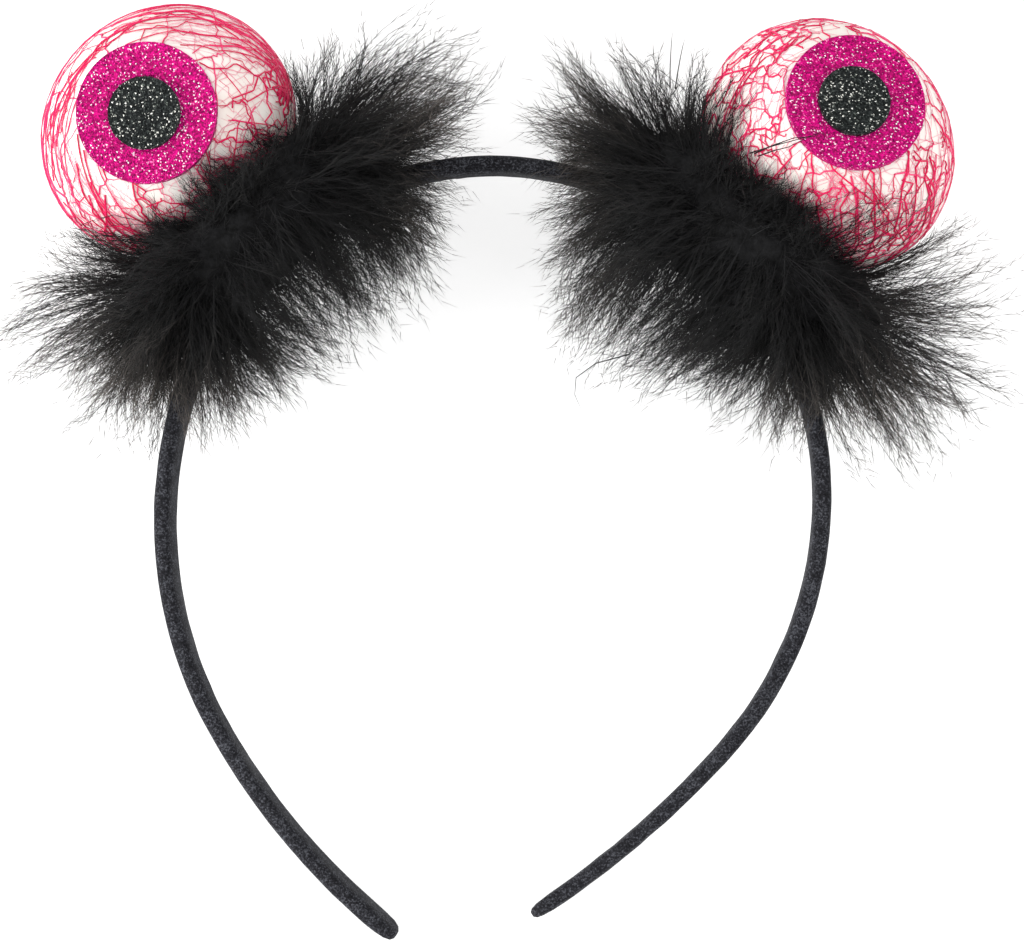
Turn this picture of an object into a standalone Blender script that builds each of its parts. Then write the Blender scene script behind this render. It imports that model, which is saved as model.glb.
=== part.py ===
"""Headband with two eyeballs on top.

A strip bent to a head's shape and covered in black satin carries, on each shoulder, a white ball
in a net of red veins. Each ball has a glitter iris and pupil on its front and a ring of marabou
feathers round its foot. The headband lies on its back, on both balls and one tip of the band.

All sizes are in metres. The band frame has its origin at the crown's middle, X along the crown,
Y outwards at the crown and Z towards the viewer. An eye frame has its origin at the ball's centre,
X along the band, Y outwards from the band and Z towards the viewer.
"""
import random
from math import asin, atan, atan2, cos, degrees, hypot, pi, radians, sin, sqrt, tan

import bmesh
import bpy
from mathutils import Matrix, Vector

for old in list(bpy.data.objects):
    bpy.data.objects.remove(old, do_unlink=True)


# Sizes of the band.

HEAD_RADIUS = 0.0635          # radius of the strip's middle line at the crown
BAND_WIDTH = 0.0090
BAND_THICKNESS = 0.0035
BAND_STEP = 0.0070            # spacing of the cross sections along the strip
TIP_LENGTH = 0.0065           # the rounded last stretch of each arm
CROWN_LEAN = 1.0              # degrees, positive where the front edge leans outwards

# Each arm is a chain of arcs from the crown to its tip.
# Columns: radius as a share of HEAD_RADIUS, turn in degrees, lean at the arc's end in degrees.
LEFT_ARM = (
    (0.990, 72.0, 2.0),
    (1.300, 48.5, 2.0),
    (2.140, 22.0, 2.5),
)
RIGHT_ARM = (
    (1.013, 86.5, -2.5),
    (1.159, 43.7, -5.5),
    (2.890, 15.2, -6.5),
)

# Cross section of the covered strip, flat on the inside and crowned on the outside.
# Columns: share of half the thickness, outwards positive, and share of half the width.
BAND_SECTION = (
    (-1.00, -0.76),
    (-1.00, 0.76),
    (-0.60, 0.95),
    (0.00, 1.00),
    (0.55, 0.93),
    (0.88, 0.66),
    (1.00, 0.22),
    (1.00, -0.22),
    (0.88, -0.66),
    (0.55, -0.93),
    (0.00, -1.00),
    (-0.60, -0.95),
)

# Rounding of a tip. Columns: share of TIP_LENGTH, share of the width, share of the thickness.
TIP_SHAPE = (
    (0.00, 1.00, 1.00),
    (0.42, 0.97, 1.00),
    (0.72, 0.84, 0.94),
    (0.92, 0.60, 0.78),
    (1.00, 0.36, 0.52),
)

# Sizes of the eyes.

BALL_RADIUS = 0.0246
BALL_SQUASH = 0.925           # height of the ball off the band, as a share of its width
FACET_DISTANCE = 0.0202       # from the ball's centre to the flat front that carries the iris
NET_CLEARANCE = 0.0008        # room under the net, for its straight strands on a round ball
NET_WALL = 0.0006
STRAND_WIDTH = 0.0012
LONGEST_STRAND = 0.0085       # a longer strand gets a bend in its middle
NECK_RADIUS = 0.0040          # the net's gathered foot, which holds the ball on the band
NECK_LENGTH = 0.0042          # from the net's lowest point to the band's outer face
SEAT_GAP = 0.0003             # between pieces that touch
IRIS_RADIUS = 0.01325
IRIS_THICKNESS = 0.0020
PUPIL_RADIUS = 0.0067
PUPIL_THICKNESS = 0.0018
RIM_BEVEL = 0.0003

# Cells of the vein net. Columns: angle from the ball's outer pole in degrees, cells in the row.
NET_ROWS = (
    (0.0, 1),
    (34.0, 6),
    (70.0, 12),
    (105.0, 14),
    (139.0, 12),
    (180.0, 1),
)
NET_SHIFT = 0.18              # random shift of a cell, as a share of the row and cell spacing

# Sizes of the feather trims.

FEATHER_REACH = 0.0600        # the longest reach of a feather lock, seen from the front
FEATHER_DEPTH = 0.0330        # reach towards the viewer and away
RING_RADIUS = 0.0165          # radius of the trim's cord round the ball's foot
CORE_RADIUS = 0.0042
VALLEY_SHARE = 0.48           # how far out the dense plumes fill, as a share of a lock's reach
RING_STEPS = 36
SECTION_STEPS = 12
MARCH_STEP = 0.0004
FEATHER_GAP = 0.0007          # room between the plumes and the ball, band or floor

# Outline of each feather cloud seen from the front, about the middle of its ring.
# Columns: direction in degrees from the crown side, through outwards, and share of FEATHER_REACH.
LEFT_CLOUD = (
    (0, 0.93),
    (24, 0.77),
    (60, 0.46),
    (90, 0.40),
    (120, 0.56),
    (142, 0.78),
    (168, 0.97),
    (191, 0.87),
    (224, 0.70),
    (241, 0.60),
    (283, 0.60),
    (324, 0.71),
    (350, 0.96),
)
RIGHT_CLOUD = (
    (0, 0.85),
    (27, 0.70),
    (60, 0.45),
    (90, 0.40),
    (120, 0.74),
    (142, 0.92),
    (166, 1.00),
    (180, 1.04),
    (200, 0.88),
    (220, 0.70),
    (240, 0.56),
    (283, 0.73),
    (328, 0.67),
    (340, 0.83),
)

# The two eyes. Columns: name, side (-1 left, 1 right), distance along the band from the crown as
# a share of HEAD_RADIUS, how far the iris looks out and up in degrees, outline of its cloud.
EYES = (
    ("left", -1, 0.757, 3.8, 2.5, LEFT_CLOUD),
    ("right", 1, 0.750, 7.6, 14.1, RIGHT_CLOUD),
)

# Worked out from the sizes above.
net_inner = BALL_RADIUS + NET_CLEARANCE
net_outer = net_inner + NET_WALL
net_low = net_outer * BALL_SQUASH
eye_height = BAND_THICKNESS / 2 + NECK_LENGTH + net_low
iris_seat = FACET_DISTANCE + NET_CLEARANCE + NET_WALL + SEAT_GAP
pupil_seat = iris_seat + IRIS_THICKNESS + SEAT_GAP
ring_drop = BALL_SQUASH * sqrt((net_outer + FEATHER_GAP + CORE_RADIUS) ** 2 - RING_RADIUS ** 2)
arms = {-1: LEFT_ARM, 1: RIGHT_ARM}


# Helpers.

def make_material(name, colour, roughness):
    material = bpy.data.materials.new(name)
    material.use_nodes = True
    shader = material.node_tree.nodes["Principled BSDF"]
    shader.inputs["Base Color"].default_value = (*colour, 1.0)
    shader.inputs["Roughness"].default_value = roughness
    shader.inputs["Metallic"].default_value = 0.0
    return material


def make_object(name, mesh_builder, material, matrix, smooth_angle=35.0):
    """Turns a bmesh into an object at the given place in the band frame."""
    mesh = bpy.data.meshes.new(name)
    mesh_builder.to_mesh(mesh)
    mesh_builder.free()
    mesh.materials.append(material)
    mesh.shade_smooth()
    mesh.set_sharp_from_angle(angle=radians(smooth_angle))
    piece = bpy.data.objects.new(name, mesh)
    bpy.context.scene.collection.objects.link(piece)
    piece.parent = headband
    piece.matrix_local = matrix
    return piece


def loft(rings):
    """Joins equal rings of points with faces and closes both ends."""
    builder = bmesh.new()
    loops = [[builder.verts.new(point) for point in ring] for ring in rings]
    for loop, following in zip(loops, loops[1:]):
        for k in range(len(loop)):
            nxt = (k + 1) % len(loop)
            builder.faces.new((loop[k], following[k], following[nxt], loop[nxt]))
    builder.faces.new(loops[0])
    builder.faces.new(reversed(loops[-1]))
    return builder


def table_value(rows, angle):
    """Reads a closed table of (angle, value) rows with straight lines between the rows."""
    angle %= 360.0
    closed = rows + ((rows[0][0] + 360.0, rows[0][1]),)
    for (low, start), (high, end) in zip(closed, closed[1:]):
        if low <= angle <= high:
            return start + (end - start) * (angle - low) / (high - low)
    return rows[0][1]


# The band's middle line.

def arm_length(side):
    return sum(share * HEAD_RADIUS * radians(turn) for share, turn, _ in arms[side])


def band_place(side, distance):
    """Point, outward direction and lean of the strip at a distance from the crown."""
    point = Vector((0.0, 0.0))
    heading = 0.0 if side > 0 else pi
    lean = CROWN_LEAN
    inward = Vector((side * sin(heading), -side * cos(heading)))
    for share, turn, end_lean in arms[side]:
        radius = share * HEAD_RADIUS
        run = min(distance, radius * radians(turn))
        centre = point + inward * radius
        heading -= side * run / radius
        inward = Vector((side * sin(heading), -side * cos(heading)))
        point = centre - inward * radius
        lean += (end_lean - lean) * run / (radius * radians(turn))
        distance -= run
        if distance <= 0.0:
            break
    return point, -inward, lean


def band_ring(side, distance, width_share=1.0, thickness_share=1.0, extra=0.0):
    """One cross section of the strip as points in the band frame."""
    point, outward, lean = band_place(side, distance)
    half_width = BAND_WIDTH / 2 * width_share + extra
    half_thickness = BAND_THICKNESS / 2 * thickness_share + extra
    ring = []
    for out_share, width_part in BAND_SECTION:
        out = out_share * half_thickness
        depth = width_part * half_width
        tipped_out = out * cos(radians(lean)) + depth * sin(radians(lean))
        tipped_depth = depth * cos(radians(lean)) - out * sin(radians(lean))
        place = point + outward * tipped_out
        ring.append(Vector((place.x, place.y, tipped_depth)))
    return ring


def arm_rings(side, extra=0.0, extra_step=1.0):
    """Cross sections of one arm from just past the crown to its rounded tip."""
    length = arm_length(side)
    straight = length - TIP_LENGTH
    steps = round(straight / (BAND_STEP * extra_step))
    rings = [band_ring(side, straight * k / steps, extra=extra) for k in range(1, steps)]
    for share, width_share, thickness_share in TIP_SHAPE:
        rings.append(band_ring(side, straight + share * TIP_LENGTH, width_share, thickness_share, extra))
    return rings


def band_rings(extra=0.0, extra_step=1.0):
    left = arm_rings(-1, extra, extra_step)
    crown = band_ring(1, 0.0, extra=extra)
    return left[::-1] + [crown] + arm_rings(1, extra, extra_step)


# Places of the eyes.

def eye_frame(side, station_share):
    """Matrix from the eye frame to the band frame."""
    foot, outward, _ = band_place(side, station_share * HEAD_RADIUS)
    centre = foot + outward * eye_height
    up = Vector((outward.x, outward.y, 0.0))
    viewer = Vector((0.0, 0.0, 1.0))
    along = up.cross(viewer)
    turn = Matrix((along, up, viewer)).transposed()
    lift = (highest_eye - centre.y) * tan(lay_angle) if highest_eye is not None else 0.0
    return Matrix.Translation((centre.x, centre.y, lift)) @ turn.to_4x4()


def look_direction(side, out_angle, up_angle):
    """Where an iris looks, in the band frame."""
    out = side * tan(radians(out_angle))
    up = tan(radians(up_angle))
    return Vector((out, up, 1.0)).normalized()


# The headband lies with both balls and its longer arm's tip on the floor.
highest_eye = None
lay_angle = 0.0
eye_centres = [eye_frame(side, station).translation.y for _, side, station, _, _, _ in EYES]
highest_eye = max(eye_centres)
tip_height = min(band_place(side, arm_length(side) - TIP_LENGTH / 2)[0].y for side in arms)
reach_to_tip = highest_eye - tip_height
lay_angle = asin(net_outer / hypot(reach_to_tip, BAND_WIDTH / 2)) - atan(BAND_WIDTH / 2 / reach_to_tip)
floor_level = highest_eye * sin(lay_angle) - net_outer

headband = bpy.data.objects.new("headband", None)
bpy.context.scene.collection.objects.link(headband)
headband.rotation_euler.x = lay_angle


# The band: one strip, covered all round.

satin = make_material("black_satin", (0.020, 0.020, 0.024), 0.55)
band = make_object("band", loft(band_rings()), satin, Matrix.Identity(4))


# The balls: a little flattened towards the band, with a flat front for the iris.

def surface_reach(direction, look, radius, facet):
    """Distance from the ball's centre to a surface in a direction, in the eye frame."""
    reach = radius / sqrt(1.0 + (BALL_SQUASH ** -2 - 1.0) * direction.y ** 2)
    towards = direction.dot(look)
    if towards > 0.0:
        reach = min(reach, facet / towards)
    return reach


def make_ball(name, frame, look, material):
    builder = bmesh.new()
    bmesh.ops.create_uvsphere(builder, u_segments=24, v_segments=14, radius=1.0)
    to_look = look.to_track_quat("Z", "Y").to_matrix()
    for vert in builder.verts:
        direction = (to_look @ vert.co).normalized()
        vert.co = direction * surface_reach(direction, look, BALL_RADIUS, FACET_DISTANCE)
    return make_object(name, builder, material, frame, 60.0)


# The vein nets: a crackle of cells on the ball, gathered to a neck at its foot.

def net_seeds(shuffle):
    """One direction for each cell, in rows round the outer pole. The last is the net's mouth."""
    seeds = []
    row_gap = 180.0 / (len(NET_ROWS) - 1)
    for row, (polar, cells) in enumerate(NET_ROWS):
        for k in range(cells):
            jitter = NET_SHIFT if cells > 1 else 0.0
            turn = 360.0 / cells * (k + 0.5 * (row % 2) + shuffle.uniform(-jitter, jitter))
            tilt = radians(polar + row_gap * shuffle.uniform(-jitter, jitter))
            side = sin(tilt)
            seeds.append(Vector((side * cos(radians(turn)), cos(tilt), side * sin(radians(turn)))))
    return seeds


def net_cells(seeds):
    """Corners of the cell round each seed: the places that three seeds are equally near to."""
    hull = bmesh.new()
    for seed in seeds:
        hull.verts.new(seed)
    bmesh.ops.convex_hull(hull, input=hull.verts)
    bmesh.ops.recalc_face_normals(hull, faces=hull.faces)
    bmesh.ops.triangulate(hull, faces=hull.faces)
    hull.verts.ensure_lookup_table()
    hull.faces.ensure_lookup_table()
    hull.normal_update()
    corners = [face.normal.copy() for face in hull.faces]
    cells = []
    for vert in hull.verts:
        across = vert.co.orthogonal().normalized()
        along = vert.co.cross(across)
        ring = [face.index for face in vert.link_faces]
        ring.sort(key=lambda k: atan2(corners[k].dot(along), corners[k].dot(across)))
        cells.append(ring)
    hull.free()
    return corners, cells


def split_long_strands(corners, cells):
    """Adds a corner in the middle of each long strand, so that it follows the round ball."""
    middles = {}
    split = []
    for cell in cells:
        ring = []
        for k, corner in enumerate(cell):
            after = cell[(k + 1) % len(cell)]
            ring.append(corner)
            if (corners[corner] - corners[after]).length * net_outer > LONGEST_STRAND:
                strand = frozenset((corner, after))
                if strand not in middles:
                    middles[strand] = len(corners)
                    corners.append((corners[corner] + corners[after]).normalized())
                ring.append(middles[strand])
        split.append(ring)
    return corners, split


def inset_corner(before, corner, after, half_strand):
    """Moves a cell's corner into the cell, clear of half a strand on both sides."""
    one = corner.cross(corner - before).normalized()
    two = corner.cross(after - corner).normalized()
    return (corner + (one + two) * half_strand / (1.0 + one.dot(two))).normalized()


def strip(loop, following):
    """Faces between two equal closed loops of point numbers."""
    size = len(loop)
    return [[loop[k], loop[(k + 1) % size], following[(k + 1) % size], following[k]] for k in range(size)]


def make_net(name, frame, look, material, seed):
    corners, cells = split_long_strands(*net_cells(net_seeds(random.Random(seed))))
    outer = [c * surface_reach(c, look, net_outer, FACET_DISTANCE + NET_CLEARANCE + NET_WALL) for c in corners]
    inner = [c * surface_reach(c, look, net_inner, FACET_DISTANCE + NET_CLEARANCE) for c in corners]
    faces = []
    rims = []
    for cell in cells[:-1]:
        first = len(outer)
        for k, corner in enumerate(cell):
            before = corners[cell[k - 1]]
            after = corners[cell[(k + 1) % len(cell)]]
            moved = inset_corner(before, corners[corner], after, STRAND_WIDTH / 2 / net_outer)
            outer.append(moved * surface_reach(moved, look, net_outer, FACET_DISTANCE + NET_CLEARANCE + NET_WALL))
            inner.append(moved * surface_reach(moved, look, net_inner, FACET_DISTANCE + NET_CLEARANCE))
        rim = [first + k for k in range(len(cell))]
        rims.append(rim)
        faces += strip(cell, rim)
    # The mouth's rim runs down to the neck, which ends on the band.
    loop = cells[-1]
    bottom = net_low + NECK_LENGTH - SEAT_GAP
    for radius, drop in ((NECK_RADIUS * 1.3, net_low + NECK_LENGTH * 0.3), (NECK_RADIUS, bottom)):
        first = len(outer)
        for corner in cells[-1]:
            flat = Vector((corners[corner].x, 0.0, corners[corner].z)).normalized()
            outer.append(flat * radius - Vector((0.0, drop, 0.0)))
            inner.append(flat * (radius - NET_WALL) - Vector((0.0, drop - NET_WALL, 0.0)))
        ring = [first + k for k in range(len(loop))]
        faces += strip(loop, ring)
        loop = ring
    faces.append(loop)
    count = len(outer)
    walls = [list(reversed([count + k for k in face])) for face in faces]
    for rim in rims:
        walls += strip(rim, [count + k for k in rim])
    builder = bmesh.new()
    verts = [builder.verts.new(point) for point in outer + inner]
    for face in faces + walls:
        builder.faces.new([verts[k] for k in face])
    return make_object(name, builder, material, frame)


# The iris and the pupil: two discs, one on the other, on the ball's flat front.

def make_disc(name, frame, look, seat, radius, thickness, sides, material):
    builder = bmesh.new()
    bmesh.ops.create_cone(
        builder, cap_ends=True, segments=sides, radius1=radius, radius2=radius, depth=thickness)
    front = [edge for edge in builder.edges if all(vert.co.z > 0.0 for vert in edge.verts)]
    bmesh.ops.bevel(builder, geom=front, offset=RIM_BEVEL, segments=1, affect="EDGES")
    to_look = look.to_track_quat("Z", "Y").to_matrix().to_4x4()
    place = Matrix.Translation(look * (seat + thickness / 2)) @ to_look
    return make_object(name, builder, material, frame @ place, 30.0)


# The feather trims: a ring of locks round the ball's foot, fused into one body.

def clear_of_band(point):
    """True where a point in the band frame lies outside the strip with its room."""
    room = FEATHER_GAP
    if abs(point.z) > BAND_WIDTH / 2 + room:
        return True
    flat = Vector((point.x, point.y))
    return min((flat - spot).length for spot in band_spots) > BAND_THICKNESS / 2 + room


def in_cloud(point, side, cloud):
    """True inside the feather cloud's outline, for a point from the middle of the ring."""
    across = hypot(point.x, point.y)
    reach = FEATHER_REACH * table_value(cloud, degrees(atan2(point.y, -side * point.x)))
    return (across / reach) ** 2 + (point.z / FEATHER_DEPTH) ** 2 < 1.0


def over_iris(point, look):
    """True in front of the iris, where no lock goes."""
    height = point.dot(look)
    return height > FACET_DISTANCE and (point - look * height).length < IRIS_RADIUS + 2 * FEATHER_GAP


def free_reach(start, direction, frame, look, side, cloud):
    """How far a lock can grow before it meets the eye, the band, the floor or its outline."""
    distance = CORE_RADIUS
    while distance < 2 * FEATHER_REACH:
        spot = start + direction * (distance + MARCH_STEP)
        placed = frame @ spot
        height = placed.y * sin(lay_angle) + placed.z * cos(lay_angle) - floor_level
        rounded = Vector((spot.x, spot.y / BALL_SQUASH, spot.z))
        if rounded.length < net_outer + FEATHER_GAP or height < FEATHER_GAP:
            break
        if not in_cloud(spot + Vector((0.0, ring_drop, 0.0)), side, cloud) or over_iris(spot, look):
            break
        if hypot(spot.x, spot.z) < RING_RADIUS - CORE_RADIUS or not clear_of_band(placed):
            break
        distance += MARCH_STEP
    return distance


def make_trim(name, frame, look, side, cloud, material, seed):
    shuffle = random.Random(seed)
    builder = bmesh.new()
    loops = []
    for i in range(RING_STEPS):
        turn = 2 * pi * i / RING_STEPS
        radial = Vector((cos(turn), 0.0, sin(turn)))
        start = radial * RING_RADIUS - Vector((0.0, ring_drop, 0.0))
        loop = []
        for j in range(SECTION_STEPS):
            swing = 2 * pi * j / SECTION_STEPS
            direction = radial * cos(swing) + Vector((0.0, sin(swing), 0.0))
            reach = free_reach(start, direction, frame, look, side, cloud)
            share = shuffle.uniform(0.86, 1.0)
            if (i + j) % 2:
                share *= VALLEY_SHARE
            reach = max(CORE_RADIUS, reach * share)
            loop.append(builder.verts.new(start + direction * reach))
        loops.append(loop)
    for i in range(RING_STEPS):
        following = loops[(i + 1) % RING_STEPS]
        for j in range(SECTION_STEPS):
            nxt = (j + 1) % SECTION_STEPS
            builder.faces.new((loops[i][j], loops[i][nxt], following[nxt], following[j]))
    bmesh.ops.triangulate(builder, faces=builder.faces)
    trim = make_object(name, builder, material, frame, 25.0)
    for cutter in (band_way, ball_way(name + "_room", frame)):
        cut = trim.modifiers.new("room", "BOOLEAN")
        cut.operation = "DIFFERENCE"
        cut.object = cutter
    return trim


def hide_cutter(cutter):
    cutter.hide_render = True
    cutter.display_type = "WIRE"


def ball_way(name, frame):
    """The room that a ball and its net take out of the feathers."""
    builder = bmesh.new()
    bmesh.ops.create_icosphere(builder, subdivisions=3, radius=net_outer + 2 * SEAT_GAP)
    bmesh.ops.scale(builder, vec=(1.0, BALL_SQUASH, 1.0), verts=builder.verts)
    cutter = make_object(name, builder, feather, frame)
    hide_cutter(cutter)
    return cutter


foam = make_material("white_foam", (0.86, 0.84, 0.82), 0.6)
vein = make_material("red_vein_net", (0.62, 0.02, 0.07), 0.5)
pink_glitter = make_material("magenta_glitter", (0.60, 0.01, 0.18), 0.4)
black_glitter = make_material("black_glitter", (0.030, 0.034, 0.034), 0.4)
feather = make_material("black_marabou", (0.012, 0.012, 0.013), 0.85)

band_spots = [band_place(side, k * BAND_STEP / 4)[0] for side in arms for k in range(80)]
band_way = make_object("band_room", loft(band_rings(SEAT_GAP * 1.5)), feather, Matrix.Identity(4))
hide_cutter(band_way)

for number, (name, side, station, out_angle, up_angle, cloud) in enumerate(EYES):
    frame = eye_frame(side, station)
    look = frame.to_3x3().transposed() @ look_direction(side, out_angle, up_angle)
    make_ball(name + "_eyeball", frame, look, foam)
    make_net(name + "_vein_net", frame, look, vein, 11 + number)
    make_disc(name + "_iris", frame, look, iris_seat, IRIS_RADIUS, IRIS_THICKNESS, 36, pink_glitter)
    make_disc(name + "_pupil", frame, look, pupil_seat, PUPIL_RADIUS, PUPIL_THICKNESS, 28, black_glitter)
    make_trim(name + "_marabou_trim", frame, look, side, cloud, feather, 21 + number)


# The origin is under the middle of the headband, on the floor that it lies on.
bpy.context.view_layer.update()
depsgraph = bpy.context.evaluated_depsgraph_get()
spots = []
for piece in headband.children:
    if not piece.hide_render:
        solid = piece.evaluated_get(depsgraph)
        spots += [piece.matrix_world @ vert.co for vert in solid.data.vertices]
low = [min(spot[k] for spot in spots) for k in range(3)]
high = [max(spot[k] for spot in spots) for k in range(3)]
headband.location = (-(low[0] + high[0]) / 2, -(low[1] + high[1]) / 2, -low[2])
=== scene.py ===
from math import cos, pi, radians, sin, tan

import bmesh
import bpy
import numpy as np
from mathutils import Matrix, Vector


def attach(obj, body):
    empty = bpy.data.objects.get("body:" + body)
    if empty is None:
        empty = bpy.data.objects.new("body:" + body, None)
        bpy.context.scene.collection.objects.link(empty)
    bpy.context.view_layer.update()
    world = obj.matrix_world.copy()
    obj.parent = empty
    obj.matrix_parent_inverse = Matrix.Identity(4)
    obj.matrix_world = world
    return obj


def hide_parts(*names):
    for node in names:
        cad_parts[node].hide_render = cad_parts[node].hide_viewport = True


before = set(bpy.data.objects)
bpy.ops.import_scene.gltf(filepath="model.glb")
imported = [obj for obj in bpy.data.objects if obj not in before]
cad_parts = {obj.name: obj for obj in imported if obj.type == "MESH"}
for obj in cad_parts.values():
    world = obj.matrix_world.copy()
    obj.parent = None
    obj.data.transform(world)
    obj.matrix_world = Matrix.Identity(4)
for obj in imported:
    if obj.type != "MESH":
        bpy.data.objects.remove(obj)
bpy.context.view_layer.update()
bpy.ops.object.select_all(action="DESELECT")


# The band.
# One springy plastic strip, bent to the shape of a head and covered all round in black satin.
# The satin is glued down along the inside and folded in at both tips. It lies on its back.

CROWN = Vector((-0.002421, 0.059449, 0.025048))   # the strip's middle line at the crown
LAY_ANGLE = radians(8.096)      # how far the headband leans on both balls
HEAD_RADIUS = 0.0635
BAND_WIDTH = 0.0090
BAND_THICKNESS = 0.0036
BAND_SEAT = 0.00005             # of the satin's lowest point over the floor
CROWN_LEAN = 1.0                # in degrees
TIP_LENGTH = 0.0065
KNOT_STEP = 0.012
LEAST_HANDLE = 0.3              # a knot's shorter handle is at least this share of its longer one
SECTION_STEPS = 8
STRIP_STEPS = 6
RIPPLE_SIZE = 0.005
RIPPLE_HEIGHT = 0.00022

# Each arm is a chain of arcs from the crown to its tip.
# Columns: radius as a share of HEAD_RADIUS, turn in degrees, lean at the arc's end in degrees.
ARMS = {
    -1: ((0.990, 72.0, 6.0), (1.300, 48.5, 2.0), (2.140, 22.6, 3.5)),
    1: ((1.013, 86.5, -2.5), (1.159, 43.7, -3.6), (2.890, 15.7, -8.0)),
}

# How much thinner each arm is at its tip, and where along the arm it starts to thin.
TAPER = {-1: 0.0, 1: 0.14}
TAPER_START = 0.7

# Rounding of a tip. Columns: share of TIP_LENGTH, share of the strip's section.
TIP_ROUNDING = ((0.42, 0.98), (0.72, 0.88), (0.92, 0.66), (1.00, 0.36))

lying = Matrix.Translation(CROWN) @ Matrix.Rotation(LAY_ANGLE, 4, "X")


def arm_length(side):
    return sum(share * HEAD_RADIUS * radians(turn) for share, turn, _ in ARMS[side])


def band_place(side, distance):
    """Point, outward direction and lean of the strip at a distance from the crown."""
    point = Vector((0.0, 0.0))
    heading = 0.0 if side > 0 else pi
    lean = CROWN_LEAN
    inward = Vector((side * sin(heading), -side * cos(heading)))
    for share, turn, end_lean in ARMS[side]:
        radius = share * HEAD_RADIUS
        run = min(distance, radius * radians(turn))
        centre = point + inward * radius
        heading -= side * run / radius
        inward = Vector((side * sin(heading), -side * cos(heading)))
        point = centre - inward * radius
        lean += (end_lean - lean) * run / (radius * radians(turn))
        distance -= run
        if distance <= 0.0:
            break
    return point, -inward, lean


def band_knots(side):
    """Distance from the crown and section size of each knot of one arm, tip last."""
    straight = arm_length(side) - TIP_LENGTH
    count = round(straight / KNOT_STEP)
    places = [straight * k / count for k in range(1, count + 1)]
    thinned = [max(0.0, place / straight - TAPER_START) / (1 - TAPER_START) for place in places]
    knots = [(place, 1 - TAPER[side] * min(1.0, share)) for place, share in zip(places, thinned)]
    knots += [(straight + share * TIP_LENGTH, size * knots[-1][1]) for share, size in TIP_ROUNDING]
    return [(side, distance, size) for distance, size in knots]


def settle(piece, place):
    """Puts a piece's place into its mesh, with its object at the origin."""
    piece.data.transform(place)
    piece.matrix_world = Matrix.Identity(4)
    piece.data.update()


def stand_on_floor(piece, lowest):
    """Lifts what is a hair under the floor onto it."""
    for vert in piece.data.vertices:
        vert.co.z = max(vert.co.z, lowest)


def set_inputs(material, node, inputs):
    """Sets a shader node's values, and links the sockets that feed it."""
    for name, value in inputs.items():
        if isinstance(value, bpy.types.NodeSocket):
            material.node_tree.links.new(value, node.inputs[name])
        else:
            node.inputs[name].default_value = value


def add_node(material, kind, inputs=None, **settings):
    """A shader node with its settings, its values and the sockets that feed it."""
    made = material.node_tree.nodes.new(kind)
    for name, value in settings.items():
        setattr(made, name, value)
    set_inputs(material, made, inputs or {})
    return made


def colour_ramp(material, factor, *stops):
    """Colours along a factor. Each stop is a place from 0 to 1 and a colour."""
    ramp = add_node(material, "ShaderNodeValToRGB", {"Fac": factor})
    elements = ramp.color_ramp.elements
    elements.remove(elements[1])
    elements[0].position = stops[0][0]
    elements[0].color = (*stops[0][1], 1.0)
    for place, colour in stops[1:]:
        elements.new(place).color = (*colour, 1.0)
    return ramp.outputs["Color"]


def grey_ramp(material, factor, *stops):
    """Numbers along a factor, such as a roughness."""
    return colour_ramp(material, factor, *((place, (value,) * 3) for place, value in stops))


def start_finish(name):
    """A new material, and its main shader."""
    material = bpy.data.materials.new(name)
    material.use_nodes = True
    return material, material.node_tree.nodes["Principled BSDF"]


def noise(material, points, scale, detail, roughness=0.5):
    """A cloudy pattern of numbers from 0 to 1."""
    return add_node(material, "ShaderNodeTexNoise", {
        "Vector": points, "Scale": scale, "Detail": detail, "Roughness": roughness}).outputs["Fac"]


def bump_from(material, height, strength, distance, normal=None):
    inputs = {"Height": height, "Strength": strength, "Distance": distance}
    if normal is not None:
        inputs["Normal"] = normal
    return add_node(material, "ShaderNodeBump", inputs).outputs["Normal"]


def object_points(material):
    return add_node(material, "ShaderNodeTexCoord").outputs["Object"]


# The strip's section: flat on the inside, where the satin meets, and crowned on the outside.
bpy.ops.curve.primitive_bezier_circle_add(radius=BAND_THICKNESS / 2)
band_section = bpy.context.object
half_thick = BAND_THICKNESS / 2
half_wide = BAND_WIDTH / 2
# Columns: point across and along the width, reach of its handles towards its neighbours.
SECTION_POINTS = (
    ((-1.0, 0.0), (0.0, -0.82), (0.0, 0.82)),
    ((0.1, 1.0), (-0.90, 0.0), (0.75, 0.0)),
    ((1.0, 0.0), (0.0, 0.92), (0.0, -0.92)),
    ((0.1, -1.0), (0.75, 0.0), (-0.90, 0.0)),
)
for bend, (spot, before, after) in zip(band_section.data.splines[0].bezier_points, SECTION_POINTS):
    bend.handle_left_type = "FREE"
    bend.handle_right_type = "FREE"
    place = Vector((spot[0] * half_thick, spot[1] * half_wide, 0.0))
    bend.co = place
    bend.handle_left = place + Vector((before[0] * half_thick, before[1] * half_wide, 0.0))
    bend.handle_right = place + Vector((after[0] * half_thick, after[1] * half_wide, 0.0))
band_section.data.splines[0].resolution_u = SECTION_STEPS
band_section.data.resolution_u = SECTION_STEPS

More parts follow.
